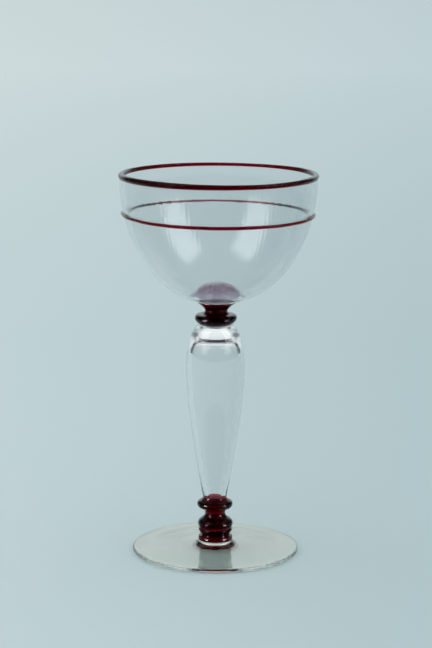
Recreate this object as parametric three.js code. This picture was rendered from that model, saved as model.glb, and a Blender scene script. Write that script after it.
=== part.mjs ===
// Champagne coupe: a clear blown bowl on a hollow baluster stem, with ruby trails, knops and a collar.
// Units are millimetres and +Z is up. The origin is the centre of the ring that the foot rests on.
// Every piece is turned about the Z axis, and each one starts at the seam where the piece under it ends.
import * as THREE from 'three';

// Facets: steps round the axis, along a long sweep, along a knop's curve and round a small edge.
const TURN_STEPS = 40;
const SWEEP_STEPS = 12;
const KNOP_STEPS = 6;
const EDGE_STEPS = 4;

// Foot: a thin low cone of even thickness with a level, rounded edge, and a low boss for the collar.
const FOOT_RADIUS = 38.8;
const FOOT_EDGE = 2;
const FOOT_CONE_RISE = 0.7;
const FOOT_BOSS_RISE = 2.5;
const FOOT_BOSS_SPREAD = 4;
const FOOT_REST_WIDTH = 2.5;
const FOOT_HOLLOW = 1.1;

// Foot collar: a short spool with a thick foot, a shallow waist and a rounded lip.
const COLLAR_FOOT_RADIUS = 7.9;
const COLLAR_FOOT_EDGE = 1.3;
const COLLAR_WAIST_RADIUS = 6.6;
const COLLAR_WAIST_RISE = 1;
const COLLAR_FLARE_RISE = 1.7;
const COLLAR_LIP_HEIGHT = 1.4;
const COLLAR_LIP_DEPTH = 0.5;
const COLLAR_GROOVE_RADIUS = 7.4;

// Lower knop: a rounded knop, a neck and a disc, all drawn from one gather of glass.
const LOWER_KNOP_RADIUS = 8.15;
const LOWER_KNOP_RISE = 2.1;
const LOWER_NECK_RADIUS = 4.75;
const LOWER_NECK_RISE = 5.2;
const LOWER_DISC_RADIUS = 8.3;
const LOWER_DISC_RISE = 4.3;
const LOWER_CROWN_RISE = 3.4;

// Stem: a hollow baluster, widest at its shoulder, with a solid plug of glass above the bubble.
const STEM_FOOT_RADIUS = 5.5;
const STEM_TAPER_RISE = 63.3;
const STEM_SHOULDER_RADIUS = 13.75;
const STEM_TOP_RADIUS = 7.9;
const STEM_WALL = 2.6;
const STEM_BUBBLE_CROWN = 12.3;
const STEM_BUBBLE_FLAT = 6;
const STEM_PLUG = 6.1;

// Upper knop: a flattened knop, a neck and a thin flare that spreads under the bowl.
const UPPER_FOOT_RADIUS = 5.3;
const UPPER_KNOP_RADIUS = 9.7;
const UPPER_KNOP_RISE = 3.3;
const UPPER_NECK_RADIUS = 5.25;
const UPPER_NECK_RISE = 3.9;
const UPPER_FLARE_RADIUS = 9.1;
const UPPER_FLARE_RISE = 3.6;
const UPPER_FLARE_SLOPE = 2.8;
const UPPER_FLARE_EDGE = 0.5;

// Bowl: a round bottom with a kick in its middle, which turns up into nearly straight walls.
const BOWL_HEIGHT = 57.4;
const BOWL_LIP_RADIUS = 45.5;
const BOWL_BELLY_RADIUS = 29.9;
const BOWL_BELLY_RISE = 4;
const BOWL_STRAIGHT_RISE = 28;
const BOWL_WALL = 2.2;
const BOWL_BELLY_WALL = 1.5;
const BOWL_KICK = 9;
const BOWL_KICK_TOP = 11;
const BOWL_KICK_FOOT = 2;

// Ruby trails: a thick one on the lip, and a thin one on the wall below it.
const WRAP_HEIGHT = 2;
const WRAP_OVERHANG = 0.3;
const THREAD_DROP = 17.3;
const THREAD_HEIGHT = 1.3;
const THREAD_DEPTH = 1;

// Bends: how far a curve keeps the direction it starts or ends in, as a share of the way to its corner.
const EVEN_BEND = 0.6;
const SLACK_BEND = 0.43;
const FULL_BEND = 0.9;
const TAPER_LEAVE = { out: 0.32, up: 0.225 };
const TAPER_ARRIVE = 0.32;

// The kick in the bowl's bottom starts at this share of the way up the wall.
const KICK_SHARE = 0.06;

// Heights of the seams, from the table up.
const footTop = FOOT_EDGE + FOOT_CONE_RISE + FOOT_BOSS_RISE;
const collarWaist = footTop + COLLAR_FOOT_EDGE + COLLAR_WAIST_RISE;
const collarTop = collarWaist + COLLAR_FLARE_RISE + COLLAR_LIP_HEIGHT;
const lowerKnopTop = collarTop + LOWER_KNOP_RISE + LOWER_NECK_RISE + LOWER_DISC_RISE + LOWER_CROWN_RISE;
const stemShoulder = lowerKnopTop + STEM_TAPER_RISE;
const bubbleTop = stemShoulder + STEM_BUBBLE_CROWN;
const stemTop = bubbleTop + STEM_PLUG;
const upperKnopTop = stemTop + UPPER_KNOP_RISE + UPPER_NECK_RISE + UPPER_FLARE_RISE + UPPER_FLARE_EDGE;
const lipHeight = upperKnopTop + BOWL_HEIGHT;

// Profiles: lists of points, each a distance from the axis and a height.
const at = (radius, height) => new THREE.Vector2(radius, height);

/** Points along a cubic curve, from its start to its end. */
function sweep(start, startPull, endPull, end, steps) {
  return new THREE.CubicBezierCurve(start, startPull, endPull, end).getPoints(steps);
}

/** An S-shaped curve that leaves and arrives upright. */
function upright(start, end, share = EVEN_BEND) {
  const pull = share * (end.y - start.y);
  return sweep(start, at(start.x, start.y + pull), at(end.x, end.y - pull), end, KNOP_STEPS);
}

/** A rounded corner that turns from level to upright or back. */
function corner(start, bend, end, share = EVEN_BEND) {
  return sweep(start, start.clone().lerp(bend, share), end.clone().lerp(bend, share), end, KNOP_STEPS);
}

/** A rounded edge that stands out from its foot and its top by a depth, which two pulls of 4/3 give. */
function bulge(foot, top, depth) {
  const pull = at((depth * 4) / 3, 0);
  return sweep(foot, foot.clone().add(pull), top.clone().add(pull), top, KNOP_STEPS);
}

/** A solid of revolution about Z. Its profile runs up the outside and down the inside. */
function turned(profile) {
  const points = profile.filter((point, i) => i === 0 || !point.equals(profile[i - 1]));
  return new THREE.LatheGeometry(points, TURN_STEPS).rotateX(Math.PI / 2);
}

function footShape() {
  const edge = FOOT_EDGE / 2;
  const edgeCentre = FOOT_RADIUS - edge;
  const coneRadius = edgeCentre - FOOT_REST_WIDTH;
  const coneTop = FOOT_EDGE + FOOT_CONE_RISE;
  const bossFoot = at(COLLAR_FOOT_RADIUS + FOOT_BOSS_SPREAD, coneTop);
  const bossTop = at(COLLAR_FOOT_RADIUS, footTop);
  const round = new THREE.EllipseCurve(edgeCentre, edge, edge, edge, -Math.PI / 2, Math.PI / 2);
  return turned([
    at(0, FOOT_HOLLOW),
    at(COLLAR_FOOT_RADIUS, FOOT_HOLLOW),
    at(coneRadius, 0),
    ...round.getPoints(EDGE_STEPS),
    at(coneRadius, FOOT_EDGE),
    ...corner(bossFoot, at(COLLAR_FOOT_RADIUS, coneTop), bossTop),
    at(0, footTop),
  ]);
}

function footCollarShape() {
  const footEdge = at(COLLAR_FOOT_RADIUS, footTop + COLLAR_FOOT_EDGE);
  const waist = at(COLLAR_WAIST_RADIUS, collarWaist);
  const lipFoot = at(COLLAR_GROOVE_RADIUS, collarWaist + COLLAR_FLARE_RISE);
  const groove = at(COLLAR_GROOVE_RADIUS, collarTop);
  return turned([
    at(0, footTop),
    at(COLLAR_FOOT_RADIUS, footTop),
    ...upright(footEdge, waist),
    ...upright(waist, lipFoot),
    ...bulge(lipFoot, groove, COLLAR_LIP_DEPTH),
    at(0, collarTop),
  ]);
}

function lowerKnopShape() {
  const groove = at(COLLAR_GROOVE_RADIUS, collarTop);
  const knop = at(LOWER_KNOP_RADIUS, groove.y + LOWER_KNOP_RISE);
  const neck = at(LOWER_NECK_RADIUS, knop.y + LOWER_NECK_RISE);
  const disc = at(LOWER_DISC_RADIUS, neck.y + LOWER_DISC_RISE);
  const stemSeat = at(STEM_FOOT_RADIUS, lowerKnopTop);
  return turned([
    at(0, collarTop),
    ...upright(groove, knop),
    ...upright(knop, neck),
    ...upright(neck, disc),
    ...upright(disc, stemSeat),
    at(0, lowerKnopTop),
  ]);
}

/** The stem's long taper from its foot to its shoulder, a given depth inside its outer face. */
function stemTaper(depth) {
  const foot = at(STEM_FOOT_RADIUS - depth, lowerKnopTop);
  const shoulder = at(STEM_SHOULDER_RADIUS - depth, stemShoulder);
  const spread = shoulder.x - foot.x;
  const leave = at(foot.x + TAPER_LEAVE.out * spread, foot.y + TAPER_LEAVE.up * STEM_TAPER_RISE);
  const arrive = at(shoulder.x, shoulder.y - TAPER_ARRIVE * STEM_TAPER_RISE);
  return sweep(foot, leave, arrive, shoulder, SWEEP_STEPS);
}

function stemShape() {
  const boreRadius = STEM_SHOULDER_RADIUS - STEM_WALL;
  const boreShoulder = at(boreRadius, stemShoulder);
  const shoulder = at(STEM_SHOULDER_RADIUS, stemShoulder);
  const topSeat = at(STEM_TOP_RADIUS, stemTop);
  return turned([
    at(0, bubbleTop),
    ...corner(at(STEM_BUBBLE_FLAT, bubbleTop), at(boreRadius, bubbleTop), boreShoulder),
    ...stemTaper(STEM_WALL).reverse(),
    ...stemTaper(0),
    ...corner(shoulder, at(STEM_SHOULDER_RADIUS, stemTop), topSeat, SLACK_BEND),
    at(0, stemTop),
  ]);
}

function upperKnopShape() {
  const foot = at(UPPER_FOOT_RADIUS, stemTop);
  const knop = at(UPPER_KNOP_RADIUS, foot.y + UPPER_KNOP_RISE);
  const neck = at(UPPER_NECK_RADIUS, knop.y + UPPER_NECK_RISE);
  const flare = at(UPPER_FLARE_RADIUS, neck.y + UPPER_FLARE_RISE);
  return turned([
    at(0, stemTop),
    ...corner(foot, at(UPPER_KNOP_RADIUS, stemTop), knop, SLACK_BEND),
    ...upright(knop, neck, FULL_BEND),
    ...corner(neck, at(UPPER_NECK_RADIUS, flare.y - UPPER_FLARE_SLOPE), flare),
    at(UPPER_FLARE_RADIUS, upperKnopTop),
    at(0, upperKnopTop),
  ]);
}

// The outside of the bowl, from the edge of the upper knop's flare to the lip.
const bowlWall = new THREE.CubicBezierCurve(
  at(UPPER_FLARE_RADIUS, upperKnopTop),
  at(BOWL_BELLY_RADIUS, upperKnopTop + BOWL_BELLY_RISE),
  at(BOWL_LIP_RADIUS, lipHeight - BOWL_STRAIGHT_RISE),
  at(BOWL_LIP_RADIUS, lipHeight),
);

/** How far along the bowl's wall a height is reached, found by halving to the last bit. */
function wallShare(height) {
  let low = 0;
  let high = 1;
  let middle = (low + high) / 2;
  while (middle > low && middle < high) {
    if (bowlWall.getPoint(middle).y < height) {
      low = middle;
    } else {
      high = middle;
    }
    middle = (low + high) / 2;
  }
  return middle;
}

// The thread lies on a band of the wall, whose lower and upper edge both pieces share.
const threadFootHeight = lipHeight - THREAD_DROP - THREAD_HEIGHT / 2;
const threadShares = [wallShare(threadFootHeight), wallShare(threadFootHeight + THREAD_HEIGHT)];

/** Points of the bowl's wall between two shares of its length. */
function wallStretch(from, to, steps) {
  const shares = Array.from({ length: steps + 1 }, (_, i) => from + ((to - from) * i) / steps);
  return shares.map((share) => bowlWall.getPoint(share));
}

/** A point of the bowl's inside, across the wall from a share of its outside. */
function innerWall(share) {
  const way = bowlWall.getTangent(share);
  const wall = BOWL_BELLY_WALL + (BOWL_WALL - BOWL_BELLY_WALL) * share;
  return bowlWall.getPoint(share).add(at(-way.y, way.x).multiplyScalar(wall));
}

function bowlShape() {
  const [threadFoot, threadTop] = threadShares;
  const innerLip = at(BOWL_LIP_RADIUS - BOWL_WALL, lipHeight);
  const step = (1 - KICK_SHARE) / SWEEP_STEPS;
  const inside = Array.from({ length: SWEEP_STEPS - 1 }, (_, i) => innerWall(1 - (i + 1) * step));
  const kickFoot = innerWall(KICK_SHARE);
  const kickPull = bowlWall.getTangent(KICK_SHARE).multiplyScalar(-BOWL_KICK_FOOT).add(kickFoot);
  const kickTop = at(0, upperKnopTop + BOWL_KICK);
  return turned([
    at(0, upperKnopTop),
    ...wallStretch(0, threadFoot, SWEEP_STEPS),
    ...wallStretch(threadTop, 1, EDGE_STEPS),
    innerLip,
    ...inside,
    ...sweep(kickFoot, kickPull, at(BOWL_KICK_TOP, kickTop.y), kickTop, KNOP_STEPS),
  ]);
}

function bowlThreadShape() {
  const [foot, top] = threadShares.map((share) => bowlWall.getPoint(share));
  return turned([...bulge(foot, top, THREAD_DEPTH), foot]);
}

function rimWrapShape() {
  const seat = BOWL_WALL / 2;
  const reach = seat + WRAP_OVERHANG;
  const seatAngle = Math.acos(seat / reach);
  const rise = WRAP_HEIGHT / (1 + Math.sin(seatAngle));
  const middle = at(BOWL_LIP_RADIUS - seat, lipHeight + rise * Math.sin(seatAngle));
  const round = new THREE.EllipseCurve(middle.x, middle.y, reach, rise, -seatAngle, Math.PI + seatAngle);
  const face = round.getPoints(2 * KNOP_STEPS).slice(1, -1);
  const seatEdges = [at(BOWL_LIP_RADIUS, lipHeight), at(BOWL_LIP_RADIUS - BOWL_WALL, lipHeight)];
  return turned([seatEdges[0], ...face, seatEdges[1], seatEdges[0]]);
}

function clearGlass() {
  return new THREE.MeshStandardMaterial({
    color: '#d3dedb', roughness: 0.05, metalness: 0, transparent: true, opacity: 0.35,
  });
}

function rubyGlass() {
  return new THREE.MeshStandardMaterial({
    color: '#4a0a18', roughness: 0.06, metalness: 0, transparent: true, opacity: 0.9,
  });
}

const pieces = [
  ['foot', footShape, clearGlass],
  ['foot_collar', footCollarShape, rubyGlass],
  ['lower_knop', lowerKnopShape, rubyGlass],
  ['stem', stemShape, clearGlass],
  ['upper_knop', upperKnopShape, rubyGlass],
  ['bowl', bowlShape, clearGlass],
  ['bowl_thread', bowlThreadShape, rubyGlass],
  ['rim_wrap', rimWrapShape, rubyGlass],
];

const champagneGlass = new THREE.Group();
for (const [name, shape, finish] of pieces) {
  const piece = new THREE.Mesh(shape(), finish());
  piece.name = name;
  champagneGlass.add(piece);
}

export default champagneGlass;
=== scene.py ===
# %% [markdown]
# # A champagne coupe in clear and ruby glass
#
# The real glass was blown and put together hot: a clear bowl, a hollow clear stem and a clear foot,
# joined by spools of deep ruby glass, with two ruby trails laid on the bowl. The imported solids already
# hold every size. What they lack is what heat does to glass: round surfaces without facets, seams that
# have run together, and trails that swell where the hand was slow. This lesson adds those, and lights
# the glass as a photographer would.

# %% Load the solids
import math

import bpy
import numpy as np
from mathutils import Matrix, Vector


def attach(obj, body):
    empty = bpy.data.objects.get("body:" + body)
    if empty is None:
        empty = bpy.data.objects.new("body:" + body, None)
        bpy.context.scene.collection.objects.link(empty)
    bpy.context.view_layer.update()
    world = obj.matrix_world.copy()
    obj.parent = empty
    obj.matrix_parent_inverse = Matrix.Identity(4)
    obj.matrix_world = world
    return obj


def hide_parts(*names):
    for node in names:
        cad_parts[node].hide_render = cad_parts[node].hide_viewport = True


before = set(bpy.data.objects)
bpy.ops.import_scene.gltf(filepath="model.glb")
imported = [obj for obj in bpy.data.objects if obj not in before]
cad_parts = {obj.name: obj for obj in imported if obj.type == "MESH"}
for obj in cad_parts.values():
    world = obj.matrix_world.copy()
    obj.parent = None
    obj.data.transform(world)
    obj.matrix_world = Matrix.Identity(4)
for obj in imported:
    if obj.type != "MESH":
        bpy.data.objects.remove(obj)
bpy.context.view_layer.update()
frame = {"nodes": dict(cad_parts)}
MM = 0.001
print("solids:", ", ".join(frame["nodes"]))

# %% [markdown]
# ## Small helpers
#
# Two helpers serve the whole script. Colours are written the way a paint program shows them, as sRGB
# hex, and Blender's shaders want linear light, so one function converts them. Every node tree, for
# shapes and for finishes, is built by one function that adds a node, sets its properties and fills or
# links its inputs.


# %% Colour and node helpers
def linear(hex_colour):
    """A colour such as #B9CACF as linear red, green, blue and full alpha."""
    shares = [int(hex_colour[i : i + 2], 16) / 255 for i in (1, 3, 5)]
    return (*[s / 12.92 if s <= 0.04045 else ((s + 0.055) / 1.055) ** 2.4 for s in shares], 1)


def add(tree, kind, settings=None, inputs=()):
    """Adds a node. An input is a value, or what it is linked from: a socket, or a node's first output."""
    made = tree.nodes.new(kind)
    for name, value in (settings or {}).items():
        setattr(made, name, value)
    for name, value in inputs.items() if isinstance(inputs, dict) else enumerate(inputs):
        if isinstance(value, bpy.types.Node):
            value = next(socket for socket in value.outputs if socket.enabled)
        if isinstance(value, bpy.types.NodeSocket):
            tree.links.new(value, made.inputs[name])
        else:
            made.inputs[name].default_value = value
    return made


# A Mix node has a pair of sockets for each kind of data; these are the numbers of its two colours.
COLOUR_A = 6
COLOUR_B = 7
print("pale blue-grey in linear light:", [round(c, 3) for c in linear("#B9CACF")])

# %% [markdown]
# ## The camera
#
# The rim and the foot of the glass are two level circles, and in the photograph each is an ellipse. How
# flat the two ellipses are, and how their widths compare, gives the distance and height of the camera.
# The lens is long, so there is little perspective. The picture is also turned by a quarter of a degree.

# %% Camera
IMAGE_HEIGHT_PX = 648
FOCAL_LENGTH_PX = 2149
SENSOR_SIDE = 36
CAMERA_PLACE = Vector((-0.2, -973, 298.5)) * MM
CAMERA_PITCH_DEG = 11.09
CAMERA_ROLL_DEG = 0.285

scene = bpy.context.scene
scene.view_settings.view_transform = "Standard"
camera_data = bpy.data.cameras.new("photo_camera")
camera_data.sensor_width = SENSOR_SIDE
camera_data.lens = FOCAL_LENGTH_PX / IMAGE_HEIGHT_PX * SENSOR_SIDE
camera = bpy.data.objects.new("photo_camera", camera_data)
look_level = Matrix.Rotation(math.radians(90 - CAMERA_PITCH_DEG), 4, "X")
roll = Matrix.Rotation(math.radians(CAMERA_ROLL_DEG), 4, "Z")
camera.matrix_world = Matrix.Translation(CAMERA_PLACE) @ look_level @ roll
scene.collection.objects.link(camera)
scene.camera = camera
print("lens in mm on a 36 mm frame:", round(camera_data.lens, 1))

# %% [markdown]
# ## Light that turns often
#
# A ray that enters the foot or the solid top of the stem is thrown to and fro by its inner faces many
# times before it comes out again. A ray that is given up early comes back black, and then the foot gets
# a black edge. So light is allowed more turns than usual here, enough for the edge to come out pale.

# %% Turns of light
LIGHT_TURNS = 40

for limit in ("max_bounces", "transmission_bounces", "glossy_bounces"):
    setattr(scene.cycles, limit, LIGHT_TURNS)
print("turns of light:", scene.cycles.transmission_bounces)

# %% [markdown]
# ## The floor
#
# The glass stands on a wide sheet of pale blue-grey card. The camera looks down far enough that the
# sheet fills the whole picture. A square plane would do from the front, but a disc has no corners to
# show from other sides. In the photograph the sheet is a little lighter to the left and further back;
# here that light and shade are painted into the card's colour. A fine mottle, as in real card, keeps
# it from looking like a flat fill. The disc lies a hair below the foot, so that no two faces share a
# place.

# %% Floor
FLOOR_RADIUS = 14
FLOOR_STEPS = 96
FLOOR_DROP = 0.15 * MM
# Painted light and shade: the card's colours are lighter to the left and further back.
FLOOR_PAINTED_LIGHT_LEFT = "#B7C4C6"
FLOOR_PAINTED_SHADE_RIGHT = "#AABABD"
FLOOR_FAR_PAINTED_LIGHT_LEFT = "#CAD2D3"
FLOOR_FAR_PAINTED_SHADE_RIGHT = "#BDC9CC"
# The painted shade follows the line of sight: the distance to the side over the distance from the camera.
FLOOR_SHADE_SLOPE = 0.1
FLOOR_NEAREST = 0.8
FLOOR_FAR = (0.5, 3)
FLOOR_MOTTLE_MM = 9
FLOOR_MOTTLE_DETAIL = 4
FLOOR_MOTTLE_SHARE = 0.04
CARD_ROUGHNESS = 0.9
CARD_MIRROR = 0.1


def matte_card():
    """Matte coloured card with the faintest sheen, so that the glass stands on an even tone. Its colour
    holds painted light and shade: lighter to the left and further back.
    """
    finish = bpy.data.materials.new("matte_card")
    finish.use_nodes = True
    tree = finish.node_tree
    tree.nodes.clear()
    place = add(tree, "ShaderNodeTexCoord").outputs["Object"]
    axes = add(tree, "ShaderNodeSeparateXYZ", {}, [place]).outputs
    away = add(tree, "ShaderNodeMath", {"operation": "SUBTRACT"}, [axes["Y"], CAMERA_PLACE.y])
    away = add(tree, "ShaderNodeMath", {"operation": "MAXIMUM"}, [away, FLOOR_NEAREST])
    slope = add(tree, "ShaderNodeMath", {"operation": "DIVIDE"}, [axes["X"], away])
    across = add(tree, "ShaderNodeMapRange", {}, {
        "Value": slope, "From Min": -FLOOR_SHADE_SLOPE, "From Max": FLOOR_SHADE_SLOPE})
    mottle = add(tree, "ShaderNodeTexNoise", {}, {
        "Vector": place, "Scale": 1 / (FLOOR_MOTTLE_MM * MM), "Detail": FLOOR_MOTTLE_DETAIL})
    speck = add(tree, "ShaderNodeMapRange", {}, {
        "Value": mottle, "To Min": -FLOOR_MOTTLE_SHARE, "To Max": FLOOR_MOTTLE_SHARE})
    share = add(tree, "ShaderNodeMath", {"operation": "ADD"}, [across, speck])
    # Painted light and shade: the card is lighter to the left, darker to the right, lighter further back.
    near = add(tree, "ShaderNodeMix", {"data_type": "RGBA"}, {
        "Factor": share, COLOUR_A: linear(FLOOR_PAINTED_LIGHT_LEFT), COLOUR_B: linear(FLOOR_PAINTED_SHADE_RIGHT)})
    far = add(tree, "ShaderNodeMix", {"data_type": "RGBA"}, {
        "Factor": share, COLOUR_A: linear(FLOOR_FAR_PAINTED_LIGHT_LEFT), COLOUR_B: linear(FLOOR_FAR_PAINTED_SHADE_RIGHT)})
    distance = add(tree, "ShaderNodeMapRange", {}, {
        "Value": axes["Y"], "From Min": FLOOR_FAR[0], "From Max": FLOOR_FAR[1]})
    tone = add(tree, "ShaderNodeMix", {"data_type": "RGBA"}, {
        "Factor": distance, COLOUR_A: near, COLOUR_B: far})
    card = add(tree, "ShaderNodeBsdfPrincipled", {}, {
        "Base Color": tone, "Roughness": CARD_ROUGHNESS, "Specular IOR Level": CARD_MIRROR})
    add(tree, "ShaderNodeOutputMaterial", {}, [card])
    return finish


turns = [2 * math.pi * i / FLOOR_STEPS for i in range(FLOOR_STEPS)]
floor_mesh = bpy.data.meshes.new("floor")
floor_mesh.from_pydata(
    [(FLOOR_RADIUS * math.cos(turn), FLOOR_RADIUS * math.sin(turn), -FLOOR_DROP) for turn in turns],
    [], [range(FLOOR_STEPS)])
floor_mesh.materials.append(matte_card())
floor = bpy.data.objects.new("floor", floor_mesh)
scene.collection.objects.link(floor)
print("floor disc, m across:", 2 * FLOOR_RADIUS)

# %% [markdown]
# ## The room that the glass shows
#
# Clear glass has no colour of its own: it shows what lies around it, bent and mirrored. So the room
# matters more than the lamps. Straight behind the glass is a pale backdrop, whiter higher up. To the
# sides and in front the room is dark. Where a wall of glass turns steep it bends the eye sideways into
# that dark, and this draws the fine lines that give clear glass its outline.
#
# The floor needs an even light instead. A ray that has already been scattered by the floor meets a
# plain white sky, also when it has passed through the foot on its way.

# %% Room
BACKDROP_LOW = "#C2D2D6"
BACKDROP_HIGH = "#F4FAFB"
BACKDROP_HIGH_AT = (0.05, 0.25)
BACKDROP_SIDES = (0.72, 0.88)
CEILING_AT = (0.45, 0.8)
CEILING_SHARE = 0.4
ROOM = "#3A464A"
FLOOR_LIGHT = 1.27

world = bpy.data.worlds.new("studio_room")
world.use_nodes = True
sky = world.node_tree
sky.nodes.clear()
way = add(sky, "ShaderNodeTexCoord").outputs["Generated"]
ways = add(sky, "ShaderNodeSeparateXYZ", {}, [way]).outputs
behind = add(sky, "ShaderNodeMapRange", {"interpolation_type": "SMOOTHSTEP"}, {
    "Value": ways["Y"], "From Min": BACKDROP_SIDES[0], "From Max": BACKDROP_SIDES[1]})
overhead = add(sky, "ShaderNodeMapRange", {"interpolation_type": "SMOOTHSTEP"}, {
    "Value": ways["Z"], "From Min": CEILING_AT[0], "From Max": CEILING_AT[1], "To Max": CEILING_SHARE})
lit = add(sky, "ShaderNodeMath", {"operation": "MAXIMUM"}, [behind, overhead])
climb = add(sky, "ShaderNodeMapRange", {"interpolation_type": "SMOOTHSTEP"}, {
    "Value": ways["Z"], "From Min": BACKDROP_HIGH_AT[0], "From Max": BACKDROP_HIGH_AT[1]})
backdrop = add(sky, "ShaderNodeMix", {"data_type": "RGBA"}, {
    "Factor": climb, COLOUR_A: linear(BACKDROP_LOW), COLOUR_B: linear(BACKDROP_HIGH)})
seen = add(sky, "ShaderNodeMix", {"data_type": "RGBA"}, {
    "Factor": lit, COLOUR_A: linear(ROOM), COLOUR_B: backdrop})
seen = add(sky, "ShaderNodeBackground", {}, [seen])
soft = add(sky, "ShaderNodeBackground", {}, [linear(BACKDROP_HIGH), FLOOR_LIGHT])
scatterings = add(sky, "ShaderNodeLightPath").outputs["Diffuse Depth"]
on_floor = add(sky, "ShaderNodeMath", {"operation": "GREATER_THAN"}, [scatterings, 0.5])
both = add(sky, "ShaderNodeMixShader", {}, [on_floor, seen, soft])
add(sky, "ShaderNodeOutputWorld", {}, [both])
scene.world = world
print("room nodes:", len(sky.nodes))

# %% [markdown]
# ## Softboxes and strip lights
#
# Two softboxes stand in front, high to the left and right. Their mirror images are the pale panes on
# the bowl, and because a real softbox is brightest in its middle, the panes fade at their edges. Two
# small strip lights stand low and near: they leave the pairs of bright dashes on each ruby spool. The
# strips are linked to the spools alone, because the clear pieces would repeat them many times over.

# %% Lamps
AIM = Vector((0, 0, 120 * MM))
SOFTBOX = {"rise_deg": 37, "distance": 1.4, "size": (1.1, 1.5), "glow": 2.6, "bright_to": 0.28}
STRIP = {"rise_deg": -6, "distance": 0.5, "size": (0.2, 0.08), "glow": 140, "bright_to": 0.4}
SOFTBOX_TURNS = {"softbox_left": -58, "softbox_right": 66}
STRIP_TURNS = {"strip_left": -62, "strip_right": 62}
# Places across a lamp's face run from 0 to 1.
FACE_MIDDLE = 0.5


def soft_face(tree, bright_to):
    """Lets a lamp's face fade from its bright middle to its edges."""
    tree.nodes.clear()
    across = add(tree, "ShaderNodeNewGeometry").outputs["Parametric"]
    across = add(tree, "ShaderNodeSeparateXYZ", {}, [across]).outputs
    shares = []
    for axis in "XY":
        from_middle = add(tree, "ShaderNodeMath", {"operation": "SUBTRACT"}, [across[axis], FACE_MIDDLE])
        off = add(tree, "ShaderNodeMath", {"operation": "ABSOLUTE"}, [from_middle])
        shares.append(add(tree, "ShaderNodeMapRange", {"interpolation_type": "SMOOTHSTEP"}, {
            "Value": off, "From Min": FACE_MIDDLE, "From Max": bright_to}))
    share = add(tree, "ShaderNodeMath", {"operation": "MULTIPLY"}, shares)
    light = add(tree, "ShaderNodeEmission", {}, {"Strength": share})
    add(tree, "ShaderNodeOutputLight", {}, [light])


def lamp(name, turn_deg, rise_deg, distance, size, glow, bright_to):
    """A lamp that faces the glass. Only mirror images and glass show it, as bright as its glow."""
    data = bpy.data.lights.new(name, "AREA")
    data.shape = "RECTANGLE"
    data.size, data.size_y = size
    data.energy = glow * math.pi * data.size * data.size_y
    data.use_nodes = True
    soft_face(data.node_tree, bright_to)
    turn, rise = math.radians(turn_deg), math.radians(rise_deg)
    out = Vector((math.sin(turn) * math.cos(rise), -math.cos(turn) * math.cos(rise), math.sin(rise)))
    made = bpy.data.objects.new(name, data)
    facing = (-out).to_track_quat("-Z", "Y").to_matrix().to_4x4()
    made.matrix_world = Matrix.Translation(AIM + distance * out) @ facing
    made.visible_camera = False
    made.visible_diffuse = False
    scene.collection.objects.link(made)
    return made


spools = bpy.data.collections.new("spools")
for name, turn_deg in SOFTBOX_TURNS.items():
    lamp(name, turn_deg, **SOFTBOX)
for name, turn_deg in STRIP_TURNS.items():
    strip = lamp(name, turn_deg, **STRIP)
    strip.light_linking.receiver_collection = spools
    strip.visible_transmission = False

# %% [markdown]
# ## Clear and ruby glass
#
# The clear glass is a soda glass, polished by the fire, so it is as smooth as a liquid, with a trace of
# green that shows most in the foot. Slow waves are left from blowing: they make the bends in it swim a
# little.
#
# Ruby glass is the same glass coloured through and through: a thin trail is red, a thick knop nearly
# black. So its colour is not painted on its surface. It is an absorption inside, which eats green and
# blue on the way. Its polish is a little softer, so that the dashes of the strip lights spread, and its
# mirror is toned towards wine, because a plain one would lay a grey veil over glass as dark as this.
#
# Where two pieces have fused there is no surface left to bend or mirror light. The faces of such a seam
# carry a mark, and there the index of refraction drops to 1, which leaves them invisible. Tiny bubbles
# are caught in the seams of the ruby spools, and these make a haze: lavender under the bowl, red at the
# stem's lower end.

# %% Glass finishes
GLASS_IOR = 1.5
SEAM_MARK = "fused"
STRIA_MM = 14
STRIA_DEPTH_MM = 0.012
STRIA_DETAIL = 1.5
# Real bubbles in a seam are far finer; patches of this size still show in the picture.
BUBBLE_PATCH_MM = 1.2
BUBBLE_DETAIL = 2
BUBBLE_CONTRAST = (0.35, 0.65)


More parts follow.
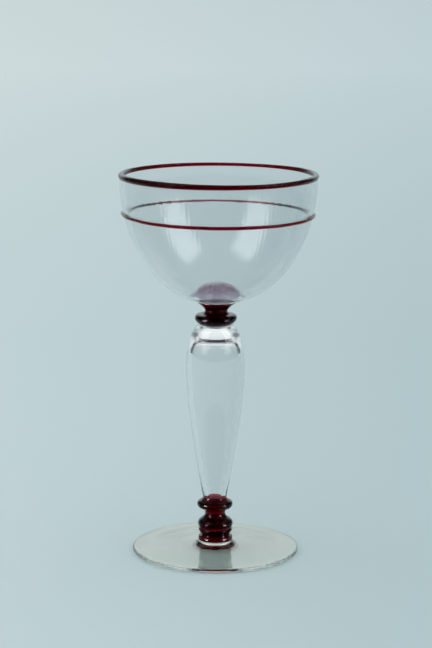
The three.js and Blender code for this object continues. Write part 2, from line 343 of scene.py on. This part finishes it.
def glass(name, tint="#FFFFFF", roughness=0, mirror="#FFFFFF", haze=None, stain=None):
    """Glass with slow waves. A haze is a seam's colour and its least and most share, and a stain the colour
    that passes through the glass and how dense it is."""
    finish = bpy.data.materials.new(name)
    finish.use_nodes = True
    tree = finish.node_tree
    tree.nodes.clear()
    place = add(tree, "ShaderNodeTexCoord").outputs["Object"]
    waves = add(tree, "ShaderNodeTexNoise", {}, {
        "Vector": place, "Scale": 1 / (STRIA_MM * MM), "Detail": STRIA_DETAIL})
    bump = add(tree, "ShaderNodeBump", {}, {
        "Height": waves, "Strength": 1, "Distance": STRIA_DEPTH_MM * MM})
    seam = add(tree, "ShaderNodeAttribute", {"attribute_name": SEAM_MARK}).outputs["Fac"]
    bend = add(tree, "ShaderNodeMapRange", {}, {"Value": seam, "To Min": GLASS_IOR, "To Max": 1})
    looks = {
        "Base Color": linear(tint), "Roughness": roughness, "Transmission Weight": 1, "IOR": bend,
        "Normal": bump, "Specular Tint": linear(mirror)}
    if haze:
        colour, least, most = haze
        patches = add(tree, "ShaderNodeTexNoise", {}, {
            "Vector": place, "Scale": 1 / (BUBBLE_PATCH_MM * MM), "Detail": BUBBLE_DETAIL})
        dense = add(tree, "ShaderNodeMapRange", {}, {
            "Value": patches, "From Min": BUBBLE_CONTRAST[0], "From Max": BUBBLE_CONTRAST[1],
            "To Min": least, "To Max": most})
        hazy = add(tree, "ShaderNodeMath", {"operation": "MULTIPLY"}, [dense, seam])
        looks["Transmission Weight"] = add(tree, "ShaderNodeMath", {"operation": "SUBTRACT"}, [1, hazy])
        looks["Base Color"] = add(tree, "ShaderNodeMix", {"data_type": "RGBA"}, {
            "Factor": seam, COLOUR_A: linear(tint), COLOUR_B: linear(colour)})
    body = add(tree, "ShaderNodeBsdfPrincipled", {}, looks)
    output = add(tree, "ShaderNodeOutputMaterial", {}, [body])
    if stain:
        colour, density = stain
        inside = add(tree, "ShaderNodeVolumeAbsorption", {}, [linear(colour), density])
        tree.links.new(inside.outputs[0], output.inputs["Volume"])
    return finish


SPOOL_POLISH = {"roughness": 0.15, "mirror": "#604858"}
RED_HAZE = ("#C8505A", 0, 0.4)
LAVENDER_HAZE = ("#B4A8C4", 0.5, 0.9)

# Clear soda glass, blown or spun out and polished by the fire: clear as water, the foot a trace greener.
bowl_glass = glass("clear_soda_glass_bowl", "#F4F6F7")
stem_glass = glass("clear_soda_glass_stem", "#F9FAFA")
foot_glass = glass("clear_soda_glass_foot", "#F0F4EE")
# Ruby soda glass, shaped while soft: wine red at its thin edges, nearly black where it is thick.
spool_glass = glass("ruby_soda_glass", **SPOOL_POLISH, haze=RED_HAZE, stain=("#F050A8", 1700))
collar_glass = glass("ruby_soda_glass_collar", **SPOOL_POLISH, haze=RED_HAZE, stain=("#F050A8", 3200))
bowl_spool_glass = glass(
    "ruby_soda_glass_under_bowl", **SPOOL_POLISH, haze=LAVENDER_HAZE, stain=("#EE58B0", 2000))
# The trails are thin, so their stain is dense: a dark line, with red where the light comes through.
trail_glass = glass("ruby_soda_glass_trail", roughness=0.07, mirror="#705260", stain=("#E244A0", 4200))
print("glasses:", [m.name for m in bpy.data.materials if "glass" in m.name])

# %% [markdown]
# ## From a faceted solid to an outline
#
# Every piece was turned about the same axis, so one outline, a cut from the axis to the skin, says all
# of its shape. The next cell finds that cut in each solid, on the side that faces the camera, by
# following the edges that lie in the plane of the cut from point to point.

# %% Cuts through the solids
# Points that lie closer together than this are taken as one.
GRAIN = 0.002 * MM


def cut(name):
    """The points of a solid's cut, each a radius and a height, in order down the outside."""
    mesh = frame["nodes"][name].data
    where = [tuple(round(c / GRAIN) for c in vertex.co) for vertex in mesh.vertices]
    near = {}
    for edge in mesh.edges:
        ends = [where[i] for i in edge.vertices]
        on_cut = all(abs(x) <= 1 and y <= 1 for x, y, z in ends)
        if on_cut and any(y < -1 for x, y, z in ends):
            (_, y0, z0), (_, y1, z1) = ends
            a, b = (max(-y0, 0), z0), (max(-y1, 0), z1)
            near.setdefault(a, set()).add(b)
            near.setdefault(b, set()).add(a)
    ends = [p for p in near if len(near[p]) == 1]
    path = [min(ends) if ends else min(near)]
    while True:
        ahead = [p for p in near[path[-1]] if p not in path[-2:] and (p not in path or p == path[0])]
        if not ahead:
            break
        path.append(ahead[0])
        if path[-1] == path[0]:
            break
    points = np.array(path, float) * GRAIN
    r, z = points.T
    turned_left = np.sum(r * np.roll(z, -1) - np.roll(r, -1) * z) > 0
    return points[::-1] if turned_left else points


cuts = {name: cut(name) for name in frame["nodes"]}
print("points in each cut:", {name: len(points) for name, points in cuts.items()})

# %% [markdown]
# ## Round outlines
#
# The cut is a row of straight steps, where hot glass is round. A curve through the same points is
# passed from each point to the next, with a direction at each point that lies between those of its two
# steps. Level faces are seats, so they stay flat, and sharp corners stay corners.

# %% Smooth outlines
CORNER_DEG = 50
CURVE_STEP = 0.7 * MM
LEAST_STEPS = 3


def unit(v):
    """The direction of a vector, with length 1."""
    return v / np.linalg.norm(v)


def directions(points):
    """For each step of an outline, the ways in which a curve leaves and arrives, or None at corners."""
    closed = np.allclose(points[0], points[-1])
    steps = np.diff(points, axis=0)
    ways = [unit(step) for step in steps]
    level = [abs(step[1]) < 2 * GRAIN for step in steps]
    leave, arrive = [None] * len(steps), [None] * len(steps)
    for i in range(len(steps) if closed else len(steps) - 1):
        after = (i + 1) % len(steps)
        if math.degrees(math.acos(np.clip(ways[i] @ ways[after], -1, 1))) > CORNER_DEG:
            continue
        lengths = np.linalg.norm(steps[i]), np.linalg.norm(steps[after])
        way = unit(ways[i] * lengths[1] + ways[after] * lengths[0])
        if level[i] or level[after]:
            way = ways[i] if level[i] else ways[after]
        arrive[i], leave[after] = way, way
    if not closed:
        leave[0], arrive[-1] = np.array([1.0, 0]), np.array([-1.0, 0])
    return leave, arrive


def smooth(points):
    """A round curve through an outline's points, in steps short enough to look round."""
    curve = []
    for a, b, start, end in zip(points[:-1], points[1:], *directions(points)):
        length = np.linalg.norm(b - a)
        way = unit(b - a)
        if start is None:
            start = way if end is None else 2 * (end @ way) * way - end
        if end is None:
            end = 2 * (start @ way) * way - start
        count = max(LEAST_STEPS, math.ceil(length / CURVE_STEP))
        for t in np.arange(count) / count:
            from_a = (2 * t**3 - 3 * t**2 + 1) * a + (t**3 - 2 * t**2 + t) * length * start
            to_b = (3 * t**2 - 2 * t**3) * b + (t**3 - t**2) * length * end
            curve.append(from_a + to_b)
    return np.array([*curve, points[-1]])


curves = {name: smooth(points) for name, points in cuts.items()}
print("points in each curve:", {name: len(curve) for name, curve in curves.items()})

# %% [markdown]
# ## Fused seams
#
# A seam is where one outline lies on another, and also what such a ring closes in, as the bottom of the
# stem's bubble. The ruby pieces are sunk a little into the clear ones there, as hot glass sinks in, so
# that no film of air is left between them, and both faces get the seam's mark. The trail on the bowl
# wanders off its even ring, so the bowl keeps all of its surface under it.

# %% Seams
SEAM_REACH = 0.05 * MM
SEAM_SINK = 0.3 * MM
RUBY = ("foot_collar", "lower_knop", "upper_knop", "bowl_thread", "rim_wrap")
WANDERS = "bowl_thread"


def gap_to(point, points):
    """How far a point lies from an outline."""
    a, step = points[:-1], np.diff(points, axis=0)
    share = np.clip(np.sum((point - a) * step, 1) / np.sum(step * step, 1), 0, 1)
    return np.min(np.linalg.norm(a + share[:, None] * step - point, axis=1))


def seams(name, curve):
    """For each step of an outline, 1 where it lies on another piece or inside such a ring, 0 elsewhere."""
    others = [points for other, points in cuts.items() if other not in (name, WANDERS)]
    middles = (curve[:-1] + curve[1:]) / 2
    marks = [float(any(gap_to(m, points) < SEAM_REACH for points in others)) for m in middles]
    marks = np.array([*marks, 0.0])
    held = middles[marks[:-1] > 0]
    for i, (r, z) in enumerate(middles):
        ring = held[abs(held[:, 1] - z) < GRAIN]
        if name in RUBY and len(ring) and r < ring[:, 0].min():
            marks[i] = 1
    return marks


def sink(curve, marks):
    """Pushes the fused faces out by the sink's depth, fading to nothing at the seam's edge."""
    fused = marks > 0
    inner = fused & np.roll(fused, 1)
    along = np.roll(curve, -1, axis=0) - np.roll(curve, 1, axis=0)
    out = np.column_stack([-along[:, 1], along[:, 0]])
    out /= np.maximum(np.linalg.norm(out, axis=1), GRAIN)[:, None]
    edges = curve[fused != np.roll(fused, 1)]
    depth = [min(SEAM_SINK, min((np.linalg.norm(p - e) for e in edges), default=SEAM_SINK)) for p in curve]
    return curve + np.where(inner, depth, 0)[:, None] * out


seam_marks = {name: seams(name, curve) for name, curve in curves.items()}
for name, marks in seam_marks.items():
    print(name, "fused steps:", int(marks.sum()), "of", len(marks) - 1)

# %% [markdown]
# ## One lathe for every piece
#
# All pieces share one rule: take an outline, carry it round the axis, close the seam. Blender's Screw
# modifier could do that, but it can't let the section change on its way round, as a trail does that was
# laid by hand. So the rule is a tree of Geometry Nodes. It starts from a flat grid with a row for each
# outline point, and across the grid runs the turn, from the back of the glass round to the back.

# %% The lathe: a grid that knows its outline
WAVES = (1, 2, 3)
LATHE_INPUTS = {
    "Outline": "Object", "Steps Round": "Int", "Seat": "Vector", "Swell": "Float",
    **{f"Wave {k}": "Float" for k in WAVES}, **{f"Wave {k} At": "Float" for k in WAVES},
    "Rise": "Float", "Rise Wave": "Float", "Rise Wave At": "Float",
    "Stem Lean": "Float", "Bowl Lean": "Float",
    "Lumps": "Float", "Lump Size": "Float", "Seed": "Float", "Finish": "Material",
}

lathe = bpy.data.node_groups.new("turned_by_hand", "GeometryNodeTree")
for name, kind in LATHE_INPUTS.items():
    lathe.interface.new_socket(name=name, in_out="INPUT", socket_type=f"NodeSocket{kind}")
lathe.interface.new_socket(name="Piece", in_out="OUTPUT", socket_type="NodeSocketGeometry")
given = add(lathe, "NodeGroupInput").outputs
outline = add(lathe, "GeometryNodeObjectInfo", {}, {"Object": given["Outline"]}).outputs["Geometry"]
points = add(lathe, "GeometryNodeAttributeDomainSize", {}, {"Geometry": outline}).outputs["Point Count"]
columns = add(lathe, "FunctionNodeIntegerMath", {"operation": "ADD"}, [given["Steps Round"], 1])
grid = add(lathe, "GeometryNodeMeshGrid", {}, {
    "Size Y": 2 * math.pi, "Vertices X": points, "Vertices Y": columns}).outputs["Mesh"]
index = add(lathe, "GeometryNodeInputIndex")
row = add(lathe, "FunctionNodeIntegerMath", {"operation": "DIVIDE_FLOOR"}, [index, columns])
position = add(lathe, "GeometryNodeInputPosition")
turn = add(lathe, "ShaderNodeSeparateXYZ", {}, [position]).outputs["Y"]
section = add(lathe, "GeometryNodeSampleIndex", {"data_type": "FLOAT_VECTOR"}, {
    "Geometry": outline, "Value": position, "Index": row})
print("lathe so far:", len(lathe.nodes), "nodes")

# %% [markdown]
# ## The hand's waves
#
# A trail is a string of hot glass that runs onto the turning bowl. Where the hand was slow it is thick,
# and it seldom meets its own start at quite the same height. Three slow waves round the ring let the
# section swell about its seat, and one more lets the ring rise on one side. The plain pieces leave all
# waves at nothing.

# %% The lathe: swell, rise and turn
swell = given["Swell"]
for k in WAVES:
    lag = add(lathe, "ShaderNodeMath", {"operation": "SUBTRACT"}, [turn, given[f"Wave {k} At"]])
    phase = add(lathe, "ShaderNodeMath", {"operation": "MULTIPLY"}, [lag, k])
    wave = add(lathe, "ShaderNodeMath", {"operation": "COSINE"}, [phase])
    swell = add(lathe, "ShaderNodeMath", {"operation": "MULTIPLY_ADD"}, [wave, given[f"Wave {k}"], swell])
from_seat = add(lathe, "ShaderNodeVectorMath", {"operation": "SUBTRACT"}, [section, given["Seat"]])
swollen = add(lathe, "ShaderNodeVectorMath", {"operation": "MULTIPLY_ADD"}, [
    from_seat, swell, given["Seat"]])
lag = add(lathe, "ShaderNodeMath", {"operation": "SUBTRACT"}, [turn, given["Rise Wave At"]])
wave = add(lathe, "ShaderNodeMath", {"operation": "COSINE"}, [lag])
rise = add(lathe, "ShaderNodeMath", {"operation": "MULTIPLY_ADD"}, [
    wave, given["Rise Wave"], given["Rise"]])
upward = add(lathe, "ShaderNodeCombineXYZ", {}, {"Z": rise})
lifted = add(lathe, "ShaderNodeVectorMath", {"operation": "ADD"}, [swollen, upward])
place = add(lathe, "ShaderNodeVectorRotate", {"rotation_type": "Z_AXIS"}, {
    "Vector": lifted, "Angle": turn})
skin = add(lathe, "GeometryNodeSetPosition", {}, {"Geometry": grid, "Position": place})
print("lathe so far:", len(lathe.nodes), "nodes")

# %% [markdown]
# ## Seam marks and closed rings
#
# Each step of the outline becomes a band of faces, and the band takes over the step's seam mark. Then
# the two ends of the grid, and the points that meet on the axis, are merged, so that the skin is
# closed.

# %% The lathe: marks and closing
band = add(lathe, "FunctionNodeIntegerMath", {"operation": "DIVIDE_FLOOR"}, [index, given["Steps Round"]])
mark = add(lathe, "GeometryNodeInputNamedAttribute", {"data_type": "FLOAT"}, [SEAM_MARK])
mark = add(lathe, "GeometryNodeSampleIndex", {"data_type": "FLOAT"}, {
    "Geometry": outline, "Value": mark, "Index": band})
skin = add(lathe, "GeometryNodeStoreNamedAttribute", {"data_type": "FLOAT", "domain": "FACE"}, {
    "Geometry": skin, "Name": SEAM_MARK, "Value": mark})
skin = add(lathe, "GeometryNodeMergeByDistance", {}, {"Geometry": skin, "Distance": GRAIN})
print("lathe so far:", len(lathe.nodes), "nodes")

# %% [markdown]
# ## Not quite true
#
# No hand-blown glass is perfectly round or upright. In the photograph the stem leans to the left by
# less than half a millimetre and the bowl sits to the right of it. A faint noise moves the skin as
# well. Both depend on the place alone, so neighbours with the same settings move together and their
# seams stay closed. At the end corners are kept sharp and all other faces are shaded round.

# %% The lathe: lean, lumps and finish
STEM_LEANS_BETWEEN = (10 * MM, 30 * MM)
BOWL_LEANS_BETWEEN = (105 * MM, 130 * MM)
NOISE_MIDDLE = (0.5, 0.5, 0.5)

height = add(lathe, "ShaderNodeSeparateXYZ", {}, [position]).outputs["Z"]
stem_lean = add(lathe, "ShaderNodeMapRange", {"interpolation_type": "SMOOTHSTEP"}, {
    "Value": height, "From Min": STEM_LEANS_BETWEEN[0], "From Max": STEM_LEANS_BETWEEN[1],
    "To Max": given["Stem Lean"]})
bowl_lean = add(lathe, "ShaderNodeMapRange", {"interpolation_type": "SMOOTHSTEP"}, {
    "Value": height, "From Min": BOWL_LEANS_BETWEEN[0], "From Max": BOWL_LEANS_BETWEEN[1],
    "To Max": given["Bowl Lean"]})
lean = add(lathe, "ShaderNodeMath", {"operation": "ADD"}, [stem_lean, bowl_lean])
sideways = add(lathe, "ShaderNodeCombineXYZ", {}, {"X": lean})
fineness = add(lathe, "ShaderNodeMath", {"operation": "DIVIDE"}, [1, given["Lump Size"]])
noise = add(lathe, "ShaderNodeTexNoise", {"noise_dimensions": "4D"}, {
    "Vector": position, "W": given["Seed"], "Scale": fineness, "Detail": 0}).outputs["Color"]
centred = add(lathe, "ShaderNodeVectorMath", {"operation": "SUBTRACT"}, [noise, NOISE_MIDDLE])
shift = add(lathe, "ShaderNodeVectorMath", {"operation": "MULTIPLY_ADD"}, [
    centred, given["Lumps"], sideways])
skin = add(lathe, "GeometryNodeSetPosition", {}, {"Geometry": skin, "Offset": shift})
bend = add(lathe, "GeometryNodeInputMeshEdgeAngle")
sharp = add(lathe, "FunctionNodeCompare", {"operation": "GREATER_THAN"}, [bend, math.radians(CORNER_DEG)])
skin = add(lathe, "GeometryNodeSetShadeSmooth", {"domain": "EDGE"}, {
    "Geometry": skin, "Selection": sharp, "Shade Smooth": False})
whole = add(lathe, "GeometryNodeRealizeInstances", {}, {"Geometry": skin})
dressed = add(lathe, "GeometryNodeSetMaterial", {}, {"Geometry": whole, "Material": given["Finish"]})
add(lathe, "NodeGroupOutput", {}, {"Piece": dressed})
print("lathe done:", len(lathe.nodes), "nodes")

# %% [markdown]
# ## Turning a piece
#
# The lathe is a modifier on an empty mesh. Its inputs are set before it is first worked out, the result
# is taken as a plain mesh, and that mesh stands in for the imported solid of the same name. The volume
# that is printed is positive when the faces point outwards.

# %% Turn a piece
ROUND_STEPS = 128
STEM_LEAN_MM = -0.4
# The bowl leans from where the stem's lean has brought it.
BOWL_LEAN_MM = 1
LUMP_MM = 0.12
LUMP_SIZE_MM = 30
HAND_SEED = 4.0


def outline_object(name, curve, marks):
    """The outline as a line of points facing the camera, with each step's seam mark."""
    mesh = bpy.data.meshes.new(f"{name}_outline")
    steps = [(i, i + 1) for i in range(len(curve) - 1)]
    mesh.from_pydata([(0, -r, z) for r, z in curve], steps, [])
    mesh.attributes.new(SEAM_MARK, "FLOAT", "POINT").data.foreach_set("value", marks)
    return bpy.data.objects.new(f"{name}_outline", mesh)


def turned_mesh(name, curve, marks, finish, hand):
    """The plain mesh that the lathe makes of an outline."""
    outline = outline_object(name, curve, marks)
    blank = bpy.data.objects.new(f"{name}_blank", bpy.data.meshes.new(f"{name}_blank"))
    scene.collection.objects.link(blank)
    turning = blank.modifiers.new("lathe", "NODES")
    turning.node_group = lathe
    sizes = {
        "Outline": outline, "Steps Round": ROUND_STEPS, "Swell": 1.0, "Stem Lean": STEM_LEAN_MM * MM,
        "Bowl Lean": BOWL_LEAN_MM * MM, "Lumps": LUMP_MM * MM, "Lump Size": LUMP_SIZE_MM * MM,
        "Seed": HAND_SEED, "Finish": finish, **hand}
    for socket in lathe.interface.items_tree:
        if socket.name in sizes:
            turning[socket.identifier] = sizes[socket.name]
    shaped = blank.evaluated_get(bpy.context.evaluated_depsgraph_get())
    mesh = bpy.data.meshes.new_from_object(shaped)
    bpy.data.objects.remove(blank)
    bpy.data.objects.remove(outline)
    mesh.name = f"glass_{name}"
    return mesh


def turned(name, finish, hand=None):
    """Turns a node's outline into a piece of glass that stands for the node."""
    curve, marks = curves[name], seam_marks[name]
    if name in RUBY:
        curve = sink(curve, marks)
    mesh = turned_mesh(name, curve, marks, finish, hand or {})
    piece = bpy.data.objects.new(mesh.name, mesh)
    scene.collection.objects.link(piece)
    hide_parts(name)
    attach(piece, "root")
    mesh.calc_loop_triangles()
    corners = [mesh.vertices[i].co for triangle in mesh.loop_triangles for i in triangle.vertices]
    volume = sum(a.dot(b.cross(c)) for a, b, c in zip(corners[::3], corners[1::3], corners[2::3])) / 6
    print(name, len(mesh.loop_triangles), "triangles,", round(volume / MM**3), "cubic mm")
    return piece


# %% [markdown]
# ## Foot, stem and bowl
#
# The three clear pieces. The foot is a thin, low cone with a fire-rounded edge, hollow underneath, so
# that only a ring near its edge rests on the table. The stem is a baluster blown round a long bubble,
# whose flat top shows as a dark line under a solid plug. The bowl is thin, with a kick in its bottom
# where the spool below pushed in. A wall could be given by a Solidify modifier, but here the outline
# runs up the inside and back down the outside, because the thickness of blown glass changes all the
# way.

# %% Clear pieces
turned("foot", foot_glass)
turned("stem", stem_glass)
turned("bowl", bowl_glass)

# %% [markdown]
# ## The ruby spools
#
# Three short turned pieces join foot, stem and bowl. They have swelling knops and narrow necks, and
# each knop shows a pair of bright dashes. Balls and rings could be joined to make them, but that leaves
# creases where soft glass has none, so each is one outline too. The strip lights shine on what is in
# the spools' collection.

# %% Spools
spools.objects.link(turned("foot_collar", collar_glass))
spools.objects.link(turned("lower_knop", spool_glass))
spools.objects.link(turned("upper_knop", bowl_spool_glass))

# %% [markdown]
# ## The ruby trails
#
# The wrap on the lip is thicker at the front and thinner at the back. The thread on the bowl is finer
# and more uneven: it climbs a little on one side, and short lumps run along it. A torus would be too
# even for either. Both swell from the middle of their seam on the bowl, so that they keep hold of it.

# %% Trails
WRAP_HAND = {
    "Swell": 0.92, "Wave 1": 0.2, "Wave 1 At": math.radians(-13),
    "Wave 2": 0.1, "Wave 2 At": math.radians(-75), "Wave 3": 0.06, "Wave 3 At": math.radians(-41)}
THREAD_HAND = {
    "Swell": 1.0, "Wave 1": 0.3, "Rise": 0.45 * MM,
    "Rise Wave": 0.5 * MM, "Rise Wave At": math.radians(207), "Lumps": 0.3 * MM, "Lump Size": 8 * MM}


def seam_middle(name):
    """The middle of a trail's seam on the bowl, where it holds and from which it swells."""
    r, z = curves[name][seam_marks[name] > 0].mean(axis=0)
    return (0, -r, z)


turned("rim_wrap", trail_glass, {"Seat": seam_middle("rim_wrap"), **WRAP_HAND})
turned("bowl_thread", trail_glass, {"Seat": seam_middle("bowl_thread"), **THREAD_HAND})
